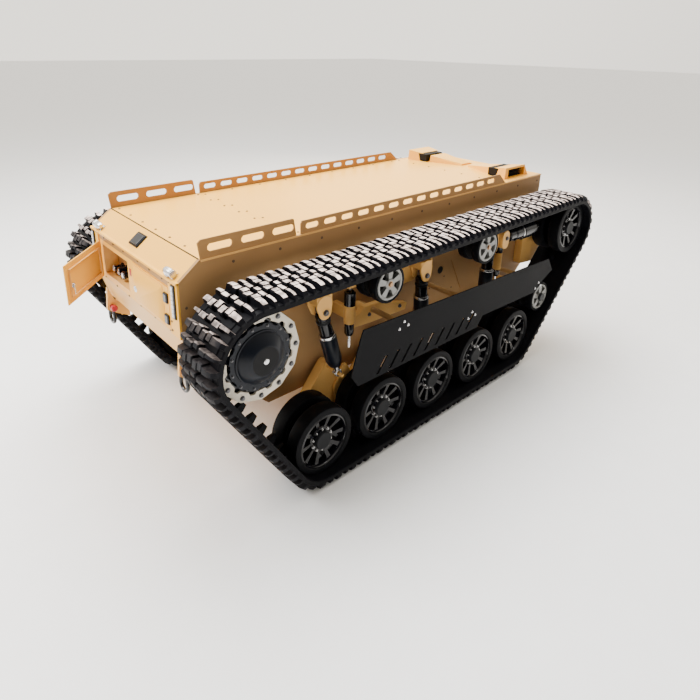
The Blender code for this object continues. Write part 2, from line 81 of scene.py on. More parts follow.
WHEEL_COUNT = 5
ROLLER_COUNT = 3
ROLLER_OUT = (0.5, 0.5, 0.52)        # the lower roller stands further out
DAMPERS = (1, 2, 3)
WHEELS = [joint_place(f"road_wheel_left_{i + 1}_spin") for i in range(WHEEL_COUNT)]
SPROCKET = joint_place("drive_sprocket_left_spin")
IDLER = joint_place("idler_wheel_left_spin")
ROLLERS = [joint_place(f"return_roller_left_{i + 1}_spin") for i in range(ROLLER_COUNT)]
WHEEL_R = half_height("road_wheel_left_1")
SPROCKET_R = half_height("drive_sprocket_left")
ROLLER_R = half_height("return_roller_left_1")
WHEEL_MID_Y = 0.5005        # middle plane of the twin wheels
RUN_CLEAR = 0.0015          # wheel to belt
BELT = 0.018                # belt thickness under the lugs
TREAD = 0.042               # belt and lugs together
DAMPER_OUT = 0.455          # middle plane of the dampers
WALL_ROOT = HULL_HALF - 0.002        # where a bracket starts, just inside the hull's wall
GUARD_INNER_Y = 0.5785      # just inboard of the guard's plate
DUST_AND_SHEEN_LOW, DUST_AND_SHEEN_HIGH = 0.64, 0.755    # heights between which the tread's pale top, part dust and part painted reflection, fades in
NOSE_Z, NOSE_TOP_X = 0.785, -0.894   # lower edge of the nose slope, and its upper edge's x
DOOR_LOW, DOOR_HIGH, DOOR_WIDE = 0.606, 0.748, 0.260


# ---- shader node helpers ----
def noise(nodes, links, vector, scale, detail):
    node = nodes.new("ShaderNodeTexNoise")
    node.inputs["Scale"].default_value = scale
    node.inputs["Detail"].default_value = detail
    links.new(vector, node.inputs["Vector"])
    return node.outputs["Fac"]


def ramp(nodes, links, value, start, end, low=0.0, high=1.0):
    """Goes from low to high while the value goes from start to end."""
    node = nodes.new("ShaderNodeMapRange")
    node.inputs["From Min"].default_value = start
    node.inputs["From Max"].default_value = end
    node.inputs["To Min"].default_value = low
    node.inputs["To Max"].default_value = high
    links.new(value, node.inputs["Value"])
    return node.outputs["Result"]


def calc(nodes, links, operation, *values):
    """A maths node on sockets and numbers."""
    node = nodes.new("ShaderNodeMath")
    node.operation = operation
    for socket, value in zip(node.inputs, values):
        if isinstance(value, float):
            socket.default_value = value
        else:
            links.new(value, socket)
    return node.outputs["Value"]


def mixed(nodes, links, share, first, second):
    """Goes from the first colour to the second; each is a socket or a constant."""
    node = nodes.new("ShaderNodeMix")
    node.data_type = "RGBA"
    links.new(share, node.inputs["Factor"])
    for name, colour in (("A", first), ("B", second)):
        if isinstance(colour, tuple):
            node.inputs[name].default_value = colour
        else:
            links.new(colour, node.inputs[name])
    return node.outputs["Result"]


def part_of(nodes, links, vector, axis):
    """One component of a vector socket."""
    node = nodes.new("ShaderNodeSeparateXYZ")
    links.new(vector, node.inputs["Vector"])
    return node.outputs[axis]


# ---- finishes ----
def finish(name, colour, roughness, metallic=0.0, coat=0.0, specular=0.5, mottle=0.1, mottle_scale=9.0,
           grain=0.05, grain_scale=420.0, dust_and_sheen=None):
    """A Principled finish with mottled colour and roughness, fine grain, and, if asked for, a pale top that
    is part dust and part painted reflection.
    """
    mat = bpy.data.materials.new(name)
    mat.use_nodes = True
    nodes, links = mat.node_tree.nodes, mat.node_tree.links
    shader = nodes["Principled BSDF"]
    shader.inputs["Metallic"].default_value = metallic
    shader.inputs["Coat Weight"].default_value = coat
    shader.inputs["Coat Roughness"].default_value = 0.12
    shader.inputs["Specular IOR Level"].default_value = specular
    place = nodes.new("ShaderNodeTexCoord").outputs["Object"]
    cloud = noise(nodes, links, place, mottle_scale, 6.0)
    tone = nodes.new("ShaderNodeValToRGB")
    for stop, position, shift in zip(tone.color_ramp.elements, (0.32, 0.68), (-mottle, mottle)):
        stop.position = position
        stop.color = (*[min(c * (1 + shift), 1.0) for c in colour], 1)
    links.new(cloud, tone.inputs["Fac"])
    base = tone.outputs["Color"]
    if dust_and_sheen:
        base = dust_and_sheen_over(nodes, links, place, base, dust_and_sheen)
    links.new(base, shader.inputs["Base Color"])
    gloss = ramp(nodes, links, cloud, 0.0, 1.0, max(roughness - 0.06, 0.02), min(roughness + 0.08, 1.0))
    links.new(gloss, shader.inputs["Roughness"])
    bump = nodes.new("ShaderNodeBump")
    bump.inputs["Strength"].default_value = grain
    bump.inputs["Distance"].default_value = 0.002
    links.new(noise(nodes, links, place, grain_scale, 3.0), bump.inputs["Height"])
    links.new(bump.outputs["Normal"], shader.inputs["Normal"])
    return mat


def dust_and_sheen_over(nodes, links, place, base, dust_and_sheen):
    """Mixes a pale colour over the base where the surface faces upwards at the track's top: part dust, part
    painted reflection of the ceiling light.
    """
    normal = nodes.new("ShaderNodeNewGeometry").outputs["Normal"]
    facing = ramp(nodes, links, part_of(nodes, links, normal, "Z"), 0.55, 0.97)
    on_top = ramp(nodes, links, part_of(nodes, links, place, "Z"), DUST_AND_SHEEN_LOW, DUST_AND_SHEEN_HIGH, 0.03)
    spread = ramp(nodes, links, noise(nodes, links, place, 55.0, 2.0), 0.38, 0.60, 0.35)
    share = calc(nodes, links, "MULTIPLY", facing, spread)
    share = calc(nodes, links, "MULTIPLY", share, on_top)
    return mixed(nodes, links, share, base, (*dust_and_sheen, 1))


SAND = finish("sand_paint", (0.78, 0.43, 0.125), 0.40, coat=0.03, specular=0.12,
              mottle=0.03, mottle_scale=2.5)
# the sand paint made more saturated for the brightly lit deck, nose, front and doors: painted light
LIT_SAND = finish("sand_paint_painted_light", (0.88, 0.445, 0.060), 0.36, coat=0.03, specular=0.12,
               mottle=0.02, mottle_scale=2.5)
# the hull's sand paint darkened as painted shade, for the side walls
SHADED_WALL = finish("wall_paint_painted_shade", (0.37, 0.21, 0.085), 0.5, specular=0.12, mottle=0.06, mottle_scale=3.0)
# the sand paint darkened as painted shade, for the rails, the recessed header band, the compartment's back
# and the side seam
SHADED_SAND = finish("sand_paint_painted_shade", (0.38, 0.205, 0.075), 0.42, specular=0.12, mottle=0.05, mottle_scale=4.0)
TRACK = finish("track_rubber", (0.002, 0.002, 0.0035), 0.55, specular=0.1,
               mottle=0.3, mottle_scale=30.0, grain=0.25)
# the lug rubber's pale top is part dust and part painted reflection of the ceiling light
LUG = finish("lug_rubber", (0.004, 0.004, 0.006), 0.5, specular=0.1,
             mottle=0.3, mottle_scale=40.0, grain=0.3, dust_and_sheen=(0.85, 0.70, 0.63))
TYRE = finish("tyre_rubber", (0.003, 0.0033, 0.0045), 0.5, specular=0.08,
              mottle=0.2, mottle_scale=25.0, grain=0.15)
GLOSS = finish("gloss_black", (0.003, 0.003, 0.005), 0.15, coat=0.3, specular=0.3, mottle=0.2, grain=0.03)
HUB = finish("hub_black", (0.005, 0.007, 0.012), 0.30, coat=0.06, specular=0.15, mottle=0.15, grain=0.06)
CAP = finish("cap_grey", (0.014, 0.015, 0.017), 0.4, metallic=0.1, specular=0.12, grain=0.06)
CHARCOAL = finish("charcoal_plate", (0.009, 0.009, 0.010), 0.48, specular=0.1, mottle_scale=6.0, grain=0.12)
RING = finish("ring_plate", (0.66, 0.60, 0.49), 0.5, mottle=0.12, mottle_scale=18.0, grain=0.1)
STEEL = finish("bright_steel", (0.66, 0.66, 0.67), 0.24, metallic=1.0, mottle=0.08)
ALLOY = finish("roller_alloy", (0.24, 0.24, 0.23), 0.42, metallic=0.5, mottle_scale=30.0, grain=0.1)
BRONZE = finish("bronze_bolt", (0.36, 0.22, 0.12), 0.35, metallic=0.9)
BOLT = finish("dark_bolt", (0.10, 0.10, 0.105), 0.35, metallic=0.8)
SCREW = finish("deck_screw", (0.13, 0.085, 0.045), 0.5, metallic=0.5)
RED = finish("red_pin", (0.45, 0.012, 0.02), 0.35, coat=0.4)
# near-black for dark parts such as the battery box and the deck seal, and painted shade in holes and recesses
DARK_AND_SHADE = finish("dark_and_painted_shade", (0.008, 0.007, 0.006), 0.8, specular=0.2, mottle=0.2)
LENS = finish("lamp_lens", (0.70, 0.71, 0.73), 0.12, coat=0.8,
              mottle_scale=60.0, grain=0.1, grain_scale=160.0)


def guard_finish():
    """The guard's charcoal coat, with its posts in the hull's sand paint darkened as painted shade: they lie
    inboard of the plate.
    """
    mat = finish("guard_coat", (0.006, 0.0063, 0.0075), 0.55, specular=0.06, mottle_scale=6.0, grain=0.12)
    nodes, links = mat.node_tree.nodes, mat.node_tree.links
    shader = nodes["Principled BSDF"]
    coat = shader.inputs["Base Color"].links[0].from_socket
    place = nodes.new("ShaderNodeTexCoord").outputs["Object"]
    outward = calc(nodes, links, "ABSOLUTE", part_of(nodes, links, place, "Y"))
    on_plate = calc(nodes, links, "GREATER_THAN", outward, GUARD_INNER_Y)
    # the posts take the sand paint darkened as painted shade
    links.new(mixed(nodes, links, on_plate, (0.45, 0.26, 0.10, 1), coat), shader.inputs["Base Color"])
    return mat


GUARD = guard_finish()


# ---- mesh building ----
class Shape:
    """Collects solids, each in a finish, and turns them into one piece."""

    def __init__(self, place=None):
        self.mesh = bmesh.new()
        self.finishes = []
        self.current = 0
        self.place = place or Matrix.Identity(4)

    def use(self, mat):
        if mat not in self.finishes:
            self.finishes.append(mat)
        self.current = self.finishes.index(mat)
        return self

    def add(self, points, faces):
        verts = [self.mesh.verts.new(self.place @ Vector(point)) for point in points]
        for corners in faces:
            self.mesh.faces.new([verts[i] for i in corners]).material_index = self.current
        return self

    def layers(self, rings, closed_ends=True):
        """Joins equal rings of points into one skin, with a cap at each end."""
        count = len(rings[0])
        points = [point for ring in rings for point in ring]
        faces = []
        for level in range(len(rings) - 1):
            a, b = level * count, (level + 1) * count
            faces += [(a + i, a + (i + 1) % count, b + (i + 1) % count, b + i) for i in range(count)]
        if closed_ends:
            faces += [tuple(range(count))[::-1], tuple(range(len(points) - count, len(points)))]
        return self.add(points, faces)

    def block(self, low, high, inset=0.0, rise=None):
        """A box whose top edges are drawn in by inset, over the given rise."""
        (x0, y0, z0), (x1, y1, z1) = low, high
        rise = inset if rise is None else rise
        rings = [[(x0, y0, z0), (x1, y0, z0), (x1, y1, z0), (x0, y1, z0)]]
        if inset:
            rings.append([(x, y, z1 - rise) for x, y, _ in rings[0]])
        x0, y0, x1, y1 = x0 + inset, y0 + inset, x1 - inset, y1 - inset
        rings.append([(x0, y0, z1), (x1, y0, z1), (x1, y1, z1), (x0, y1, z1)])
        return self.layers(rings)

    def prism(self, outline, low, high):
        """A flat outline of (x, y) raised from z = low to z = high."""
        return self.layers([[(x, y, z) for x, y in outline] for z in (low, high)])

    def turned(self, profile, steps=32, closed=False):
        """Turns a profile of (radius, z) about Z; a closed profile makes a ring."""
        rings = [[(x, y, z) for x, y in ring_points(0.0, 0.0, radius, steps)] for radius, z in profile]
        if closed:
            return self.layers(rings + rings[:1], closed_ends=False)
        return self.layers(rings)

    def cylinder(self, radius, low, high, steps):
        return self.turned([(0.0, low), (radius, low), (radius, high), (0.0, high)], steps)

    def bolt(self, x, y, z, radius, height):
        """A hex head with a washer, standing on the local XY plane."""
        self.prism(ring_points(x, y, radius * 1.35, 14), z - 0.001, z + height * 0.25)
        return self.prism(ring_points(x, y, radius, 6), z, z + height)

    def mesh_data(self, name, smooth=32):
        bmesh.ops.remove_doubles(self.mesh, verts=self.mesh.verts, dist=0.000005)
        bmesh.ops.recalc_face_normals(self.mesh, faces=self.mesh.faces)
        data = bpy.data.meshes.new(name)
        self.mesh.to_mesh(data)
        self.mesh.free()
        for mat in self.finishes:
            data.materials.append(mat)
        data.shade_smooth()
        data.set_sharp_from_angle(angle=math.radians(smooth))
        return data

    def piece(self, name, body, slot, bevel=0.0, smooth=32):
        return show(self.mesh_data(name, smooth), name, body, bevel=bevel)


def in_scene(name, data):
    obj = bpy.data.objects.new(name, data)
    bpy.context.scene.collection.objects.link(obj)
    return obj


def show(data, name, body, place=None, bevel=0.0):
    """Puts a mesh in the scene as a named piece that rides on a body."""
    obj = in_scene(name, data)
    if place is not None:
        obj.matrix_world = place
    if bevel:
        edge = obj.modifiers.new("edge", "BEVEL")
        edge.width = bevel
        edge.segments = 2
        edge.limit_method = "ANGLE"
        edge.angle_limit = math.radians(40)
    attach(obj, body)
    return obj


def ring_points(x, y, radius, count):
    turns = [2 * math.pi * i / count for i in range(count)]
    return [(x + radius * math.cos(t), y + radius * math.sin(t)) for t in turns]


def side_place(side, x=0.0, z=0.0):
    """Local x along the hull, local y up and local z outwards, on one side."""
    return Matrix(((1, 0, 0, x), (0, 0, side, 0), (0, 1, 0, z), (0, 0, 0, 1)))


def wheel_place(side, x, z, out=WHEEL_MID_Y):
    """A rotation that points local z outwards, for meshes that several wheels share."""
    return Matrix.Translation((x, side * out, z)) @ Matrix.Rotation(-side * math.pi / 2, 4, "X")


# ---- track ----
LOOP = [(*SPROCKET, SPROCKET_R), (*WHEELS[0], WHEEL_R), (*WHEELS[-1], WHEEL_R), (*IDLER, WHEEL_R)]


def track_path():
    """The belt's inner line: round stretches over the end wheels, and straight ones between them."""
    count = len(LOOP)
    angles = []
    for i in range(count):
        (ax, az, ar), (bx, bz, br) = LOOP[i], LOOP[(i + 1) % count]
        lean = math.asin((ar - br) / math.hypot(bx - ax, bz - az))
        angles.append(math.atan2(bz - az, bx - ax) - math.pi / 2 + lean)
    path = []
    for i in range(count):
        (ax, az, ar), (bx, bz, br) = LOOP[i], LOOP[(i + 1) % count]
        arrive, leave = angles[i - 1], angles[i]
        while leave < arrive:
            leave += 2 * math.pi
        radius = ar + RUN_CLEAR
        turned = leave - arrive
        path.append({"centre": (ax, az), "radius": radius, "from": arrive, "length": radius * turned})
        normal = (math.cos(leave), math.sin(leave))
        start = (ax + radius * normal[0], az + radius * normal[1])
        end = (bx + (br + RUN_CLEAR) * normal[0], bz + (br + RUN_CLEAR) * normal[1])
        path.append({"start": start, "end": end, "normal": normal, "length": math.dist(start, end)})
    return path


PATH = track_path()
TRACK_LENGTH = sum(piece["length"] for piece in PATH)


def on_track(distance):
    """The point and the outward normal at a distance along the belt's inner line."""
    distance %= TRACK_LENGTH
    for piece in PATH:
        if distance <= piece["length"]:
            break
        distance -= piece["length"]
    if "centre" in piece:
        angle = piece["from"] + distance / piece["radius"]
        normal = (math.cos(angle), math.sin(angle))
        return [c + piece["radius"] * n for c, n in zip(piece["centre"], normal)], normal
    share = distance / piece["length"]
    point = [a + share * (b - a) for a, b in zip(piece["start"], piece["end"])]
    return point, piece["normal"]


def track_place(side, distance):
    """Local x along the belt, local y outwards from the hull, local z out of the tread."""
    (x, z), (nx, nz) = on_track(distance)
    return Matrix(((-nz, 0, nx, x), (0, side, 0, 0), (nx, 0, nz, z), (0, 0, 0, 1)))


LUG_PAIR = 0.0695          # a wide and a narrow lug
PAIRS = round(TRACK_LENGTH / LUG_PAIR)
SHOULDER = 0.046           # width of the sloping block at each edge
LUG_SINK = 0.004
WIDE, NARROW = 0.0265, 0.0185


def lug_row(shape, length, top, cuts, gap):
    """A row of blocks across the belt, with a sloping shoulder block at each edge."""
    inner, outer = TRACK_IN + SHOULDER, TRACK_OUT - SHOULDER
    places = [inner + (outer - inner) * share for share in cuts]
    half = length / 2
    for i, (a, b) in enumerate(zip(places, places[1:])):
        skew = 0.0035 * (-1) ** i
        low = (skew - half, a + gap / 2, BELT - LUG_SINK)
        shape.block(low, (skew + half, b - gap / 2, top), 0.0025, 0.004)
    for edge, near in ((TRACK_OUT, outer), (TRACK_IN, inner)):
        reach = edge - near
        rings = []
        for share, height in ((0.0, top), (0.55, top - 0.001), (0.85, top - 0.006), (1.0, BELT + 0.005)):
            y = near + reach * share
            narrow = half - 0.0015 - 0.002 * share
            rings.append([(-narrow, y, BELT - LUG_SINK), (narrow, y, BELT - LUG_SINK),
                          (narrow - 0.002, y, height), (-narrow + 0.002, y, height)])
        shape.layers(rings)


def build_track(name, side):
    """The belt with its guide teeth, and the tread's rows of lugs."""
    belt = Shape().use(TRACK)
    steps = 240
    section = [(TRACK_IN + 0.002, 0.0), (TRACK_OUT - 0.002, 0.0), (TRACK_OUT, 0.003),
               (TRACK_OUT, BELT - 0.004), (TRACK_OUT - 0.004, BELT), (TRACK_IN + 0.004, BELT),
               (TRACK_IN, BELT - 0.004), (TRACK_IN, 0.003)]
    rings = []
    for i in range(steps):
        place = track_place(side, TRACK_LENGTH * i / steps)
        rings.append([place @ Vector((0, y, z)) for y, z in section])
    belt.layers(rings + rings[:1], closed_ends=False)
    pitch = TRACK_LENGTH / PAIRS
    for i in range(PAIRS):
        belt.place = track_place(side, (i + 0.25) * pitch)
        for y in (TRACK_IN + 0.030, TRACK_OUT - 0.030):
            belt.block((-0.012, y - 0.006, BELT - 0.002), (0.012, y + 0.006, BELT + 0.003), 0.002)
        belt.place = track_place(side, (i + 0.5) * pitch) @ Matrix.Rotation(math.pi, 4, "X")
        belt.block((-0.014, -WHEEL_MID_Y - 0.009, -0.002), (0.014, -WHEEL_MID_Y + 0.009, 0.030), 0.004, 0.02)
    lugs = Shape().use(LUG)
    for i in range(PAIRS):
        lugs.place = track_place(side, i * pitch)
        lug_row(lugs, WIDE, TREAD, (0.0, 0.24, 0.5, 0.76, 1.0), 0.0035)
        lugs.place = track_place(side, (i + 0.5) * pitch)
        lug_row(lugs, NARROW, TREAD - 0.002, (0.0, 0.36, 0.64, 1.0), 0.005)
    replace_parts(belt.piece(f"belt_{name}", CHASSIS, "track_rubber"), f"track_{name}")
    lugs.piece(f"tread_lugs_{name}", CHASSIS, "track_rubber", smooth=25)


# ---- wheels ----
SPOKES, ROLLER_SPOKES = 10, 5


def tyre_profile(inner, radius, low, high):
    soft = 0.004
    return [(inner, low), (inner, high - 0.004), (inner + 0.005, high), (radius - 2 * soft, high),
            (radius - 0.4 * soft, high - 0.5 * soft), (radius, high - 2 * soft), (radius, low + 2 * soft),
            (radius - 0.4 * soft, low + 0.5 * soft), (radius - 2 * soft, low)]


def spoke(shape, turn, outline, width):
    """A radial rib: its outline is (radius, z), and it is narrower towards the hub."""
    near, far = outline[0][0], max(radius for radius, _ in outline)
    rings = []
    for sign in (-1, 1):
        ring = []
        for radius, z in outline:
            half = sign * width * (0.55 + 0.45 * (radius - near) / (far - near)) / 2
            ring.append((radius * math.cos(turn) - half * math.sin(turn),
                         radius * math.sin(turn) + half * math.cos(turn), z))
        rings.append(ring)
    shape.layers(rings)


def wheel_mesh():
    """A twin road wheel about Z, with its outer face towards +Z."""
    face, inside, radius = 0.0703, 0.0147, WHEEL_R
    rim = radius - 0.026
    shape = Shape().use(TYRE)
    shape.turned(tyre_profile(rim, radius, inside, face), 56, closed=True)
    shape.turned(tyre_profile(rim, radius, -face, -inside), 56, closed=True)
    shape.use(GLOSS)
    lip = [(rim + 0.001, inside + 0.003), (rim + 0.001, face - 0.003), (rim - 0.004, face - 0.001),
           (rim - 0.007, face - 0.006), (rim - 0.009, 0.040), (0.052, 0.026), (0.046, 0.026),
           (0.046, inside + 0.003)]
    shape.turned(lip, 56, closed=True)
    shape.turned([(r, -z) for r, z in lip], 56, closed=True)
    rib = [(0.044, 0.024), (rim - 0.006, 0.036), (rim - 0.006, face - 0.010), (0.046, 0.052)]
    for i in range(SPOKES):
        spoke(shape, 2 * math.pi * i / SPOKES, rib, 0.017)
    shape.turned([(0.0, 0.010), (0.050, 0.010), (0.050, 0.050), (0.047, 0.053), (0.0, 0.053)], 40)
    shape.turned([(0.0, -0.060), (0.046, -0.060), (0.050, -0.050), (0.050, -0.010),
                  (0.030, -0.008), (0.030, 0.012), (0.0, 0.012)], 40)
    shape.use(CAP)
    shape.turned([(0.0, 0.052), (0.033, 0.052), (0.033, 0.064), (0.031, 0.0668), (0.0, 0.0668)], 40)
    shape.use(STEEL)
    for i in range(SPOKES):
        turn = 2 * math.pi * (i + 0.5) / SPOKES
        shape.bolt(0.0405 * math.cos(turn), 0.0405 * math.sin(turn), 0.053, 0.0034, 0.005)
    return shape.mesh_data("twin_wheel")


def roller_mesh():
    """A twin support roller about Z, with a light five-spoked face over a dark fill that is painted shade."""
    face, inside, radius = 0.0525, 0.0147, ROLLER_R
    rim = radius - 0.013
    shape = Shape().use(TYRE)
    shape.turned(tyre_profile(rim, radius, inside, face), 44, closed=True)
    shape.turned(tyre_profile(rim, radius, -face, -inside), 44, closed=True)
    # dark fill behind the spokes and between the halves: painted shade
    shape.use(DARK_AND_SHADE)
    shape.cylinder(rim + 0.001, inside, 0.036, 32)
    shape.cylinder(rim + 0.001, -face + 0.008, -inside, 32)
    shape.cylinder(0.022, -inside - 0.001, inside + 0.001, 24)
    shape.use(ALLOY)
    shape.turned([(rim + 0.001, 0.034), (rim + 0.001, face - 0.002), (rim - 0.001, face), (rim - 0.007, face),
                  (rim - 0.009, face - 0.002), (rim - 0.010, 0.034)], 44, closed=True)
    rib = [(0.012, 0.034), (rim - 0.006, 0.034), (rim - 0.006, face - 0.002), (0.012, face - 0.001)]
    for i in range(ROLLER_SPOKES):
        spoke(shape, 2 * math.pi * i / ROLLER_SPOKES + 0.3, rib, 0.026)
    shape.turned([(0.0, 0.034), (0.021, 0.034), (0.021, face - 0.001), (0.019, face + 0.001),
                  (0.0, face + 0.001)], 32)
    shape.use(BRONZE).bolt(0.0, 0.0, face, 0.0085, 0.006)
    return shape.mesh_data("support_roller")


def build_wheels(name, side, wheel, roller):
    for i, (x, z) in enumerate(WHEELS):
        node = f"road_wheel_{name}_{i + 1}"
        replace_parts(show(wheel, f"wheel_{name}_{i + 1}", node, wheel_place(side, x, z)), node)
    node = f"idler_wheel_{name}"
    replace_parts(show(wheel, f"idler_{name}", node, wheel_place(side, *IDLER)), node)
    for i, (x, z) in enumerate(ROLLERS):
        node = f"return_roller_{name}_{i + 1}"
        out = ROLLER_OUT[i]
        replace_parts(show(roller, f"roller_{name}_{i + 1}", node,
                         wheel_place(side, x, z, out)), node)
    cap = Shape(wheel_place(side, *ROLLERS[2], ROLLER_OUT[2])).use(CAP)
    cap.turned([(0.0, 0.052), (0.0195, 0.052), (0.0195, 0.063), (0.0175, 0.0655), (0.0, 0.0655)], 28)
    cap.piece(f"roller_cap_{name}", f"return_roller_{name}_3", "roller_metal")


RING_SIDES = 12
SIDE_STEPS = 8             # points along each side of the ring plate


def build_sprocket(name, side):
    """Toothed drum, pale bolted ring plate, and the hub cover, a low cone."""
    body = f"drive_sprocket_{name}"
    shape = Shape(wheel_place(side, *SPROCKET, 0.5)).use(GLOSS)
    drum, ring_inner, flange = SPROCKET_R - 0.003, SPROCKET_R - 0.034, SPROCKET_R - 0.038
    shape.turned([(0.05, -0.065), (drum, -0.065), (drum, -0.013), (drum - 0.032, -0.012),
                  (drum - 0.032, 0.012), (drum, 0.013), (drum, 0.048), (0.05, 0.048)], 48, closed=True)
    shape.turned([(0.0, -0.12), (0.030, -0.12), (0.030, -0.10), (0.060, -0.10), (0.060, 0.05),
                  (0.0, 0.05)], 32)
    tooth = [(drum - 0.030, -0.011), (drum - 0.002, -0.011), (drum - 0.002, 0.011), (drum - 0.030, 0.011)]
    for i in range(2 * RING_SIDES):
        spoke(shape, math.pi * i / RING_SIDES, tooth, 0.014)
    shape.use(RING)
    outer = ring_points(0, 0, SPROCKET_R - 0.0005, RING_SIDES)
    steps = SIDE_STEPS * RING_SIDES
    edge, inner = [], []
    for i in range(steps):
        (ax, ay), (bx, by) = outer[i // SIDE_STEPS], outer[(i // SIDE_STEPS + 1) % RING_SIDES]
        share = (i % SIDE_STEPS) / SIDE_STEPS
        edge.append((ax + (bx - ax) * share, ay + (by - ay) * share))
        turn = 2 * math.pi * i / steps
        reach = ring_inner + (0.010 if i % SIDE_STEPS in (3, 4, 5) else 0.0)
        inner.append((reach * math.cos(turn), reach * math.sin(turn)))
    rings = [[(x, y, z) for x, y in loop] for loop, z in
             ((inner, 0.052), (edge, 0.052), (edge, 0.0605), (inner, 0.0605))]
    shape.layers(rings + rings[:1], closed_ends=False)
    shape.use(HUB)
    scallop = []
    for i in range(steps):
        turn = 2 * math.pi * i / steps
        reach = flange - (0.005 if i % SIDE_STEPS in (0, 1, 7) else 0.0)
        scallop.append((reach * math.cos(turn), reach * math.sin(turn)))
    shape.prism(scallop, 0.048, 0.0635)
    shape.turned([(0.0, 0.060), (0.087, 0.060), (0.087, 0.0665), (0.082, 0.0675), (0.080, 0.070),
                  (0.078, 0.0720), (0.050, 0.0905), (0.047, 0.0918), (0.0, 0.0918)], 64)
    shape.use(BOLT)
    for i in range(RING_SIDES):
        turn = 2 * math.pi * (i + 0.5) / RING_SIDES
        reach = SPROCKET_R - 0.016
        shape.bolt(reach * math.cos(turn + 0.26), reach * math.sin(turn + 0.26), 0.0605, 0.0062, 0.0065)
        reach = flange - 0.008
        shape.bolt(reach * math.cos(turn), reach * math.sin(turn), 0.0635, 0.0036, 0.004)
    shape.use(CHARCOAL).cylinder(0.0455, 0.0900, 0.0926, 64)
    shape.use(STEEL)
    shape.turned([(0.0, 0.0915), (0.0095, 0.0915), (0.0095, 0.0945), (0.007, 0.0962), (0.0, 0.0962)], 16)
    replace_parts(shape.piece(f"sprocket_{name}", body, "sprocket_metal", bevel=0.0006), body)


# ---- dampers ----
TUBE_R, SLEEVE_BORE = 0.0245, 0.0256


def build_damper(name, side, number):
    """The tube with its top eye, and the sleeve with its collar, rod end and lower eye."""
    body, sleeve = f"damper_body_{name}_{number}", f"damper_sleeve_{name}_{number}"
    top = joints[body + "_tilt"]["pos_m"]
    along = joints[sleeve + "_slide"]["axis"]
    low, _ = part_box(sleeve)
    length = (top[2] - low.z - 0.016) / -along[2]
    lean = math.atan2(-along[0], -along[2])
    place = Matrix.Translation(top) @ Matrix.Rotation(lean, 4, "Y") @ Matrix.Rotation(math.pi, 4, "X")
    tube_end, sleeve_top = length * 0.52, length * 0.36
    shape = Shape(place).use(GLOSS)
    shape.turned([(0.0, 0.012), (0.019, 0.012), (TUBE_R, 0.020), (TUBE_R, 0.030), (0.0225, 0.032),
                  (0.0225, 0.036), (TUBE_R, 0.038), (TUBE_R, tube_end), (0.0, tube_end)], 32)
    shape.use(CAP)
    shape.turned([(TUBE_R, 0.040), (0.0262, 0.041), (0.0262, 0.050), (TUBE_R, 0.051)], 32, closed=True)
    shape.use(BOLT)
    eye(shape, place, 0.0, 0.0155, 0.024)
    if number == 1:
        shape.use(RED).prism(ring_points(-side * 0.010, -0.024, 0.0035, 10), 0.030, tube_end - 0.03)
    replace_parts(shape.piece(body.replace("body", "tube"), body, "black_coat", bevel=0.0008), body)
    shape = Shape(place).use(HUB)
    end = length - 0.036
    shape.turned([(SLEEVE_BORE, sleeve_top + 0.012), (0.0306, sleeve_top + 0.012), (0.0306, end - 0.03),
                  (0.026, end - 0.012), (0.020, end), (0.008, end), (0.008, tube_end + 0.05),
                  (SLEEVE_BORE, tube_end + 0.05)], 32, closed=True)
    shape.use(STEEL)
    shape.turned([(SLEEVE_BORE, sleeve_top), (0.0300, sleeve_top), (0.0312, sleeve_top + 0.003),
                  (0.0312, sleeve_top + 0.009), (0.0300, sleeve_top + 0.012),
                  (SLEEVE_BORE, sleeve_top + 0.012)], 32, closed=True)
    shape.cylinder(0.0105, end - 0.004, length - 0.01, 20)
    shape.cylinder(0.013, end, end + 0.008, 6)
    eye(shape, place, length, 0.0155, 0.022)
    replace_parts(shape.piece(sleeve.replace("sleeve", "rod"), sleeve, "black_coat", bevel=0.0006), sleeve)


def eye(shape, place, z, radius, width):
    """A rod eye across the damper at height z."""
    shape.place = place @ Matrix.Translation((0, 0, z)) @ Matrix.Rotation(math.pi / 2, 4, "X")
    half = width / 2
    shape.turned([(0.0088, -half), (radius - 0.002, -half), (radius, -half + 0.003), (radius, half - 0.003),
                  (radius - 0.002, half), (0.0088, half)], 28, closed=True)
    shape.place = place


def rounded(points):
    """The convex outline round circles given as (x, y, radius)."""
    cloud = [p for x, y, radius in points for p in ring_points(x, y, radius, 40)]
    cloud.sort()
    halves = []
    for ordered in (cloud, cloud[::-1]):
        chain = []
        for p in ordered:
            while len(chain) > 1 and not left_turn(chain[-2], chain[-1], p):
                chain.pop()
            chain.append(p)
        halves.append(chain[:-1])
    return halves[0] + halves[1]


def left_turn(a, b, c):
    return (b[0] - a[0]) * (c[1] - a[1]) - (b[1] - a[1]) * (c[0] - a[0]) > 1e-12


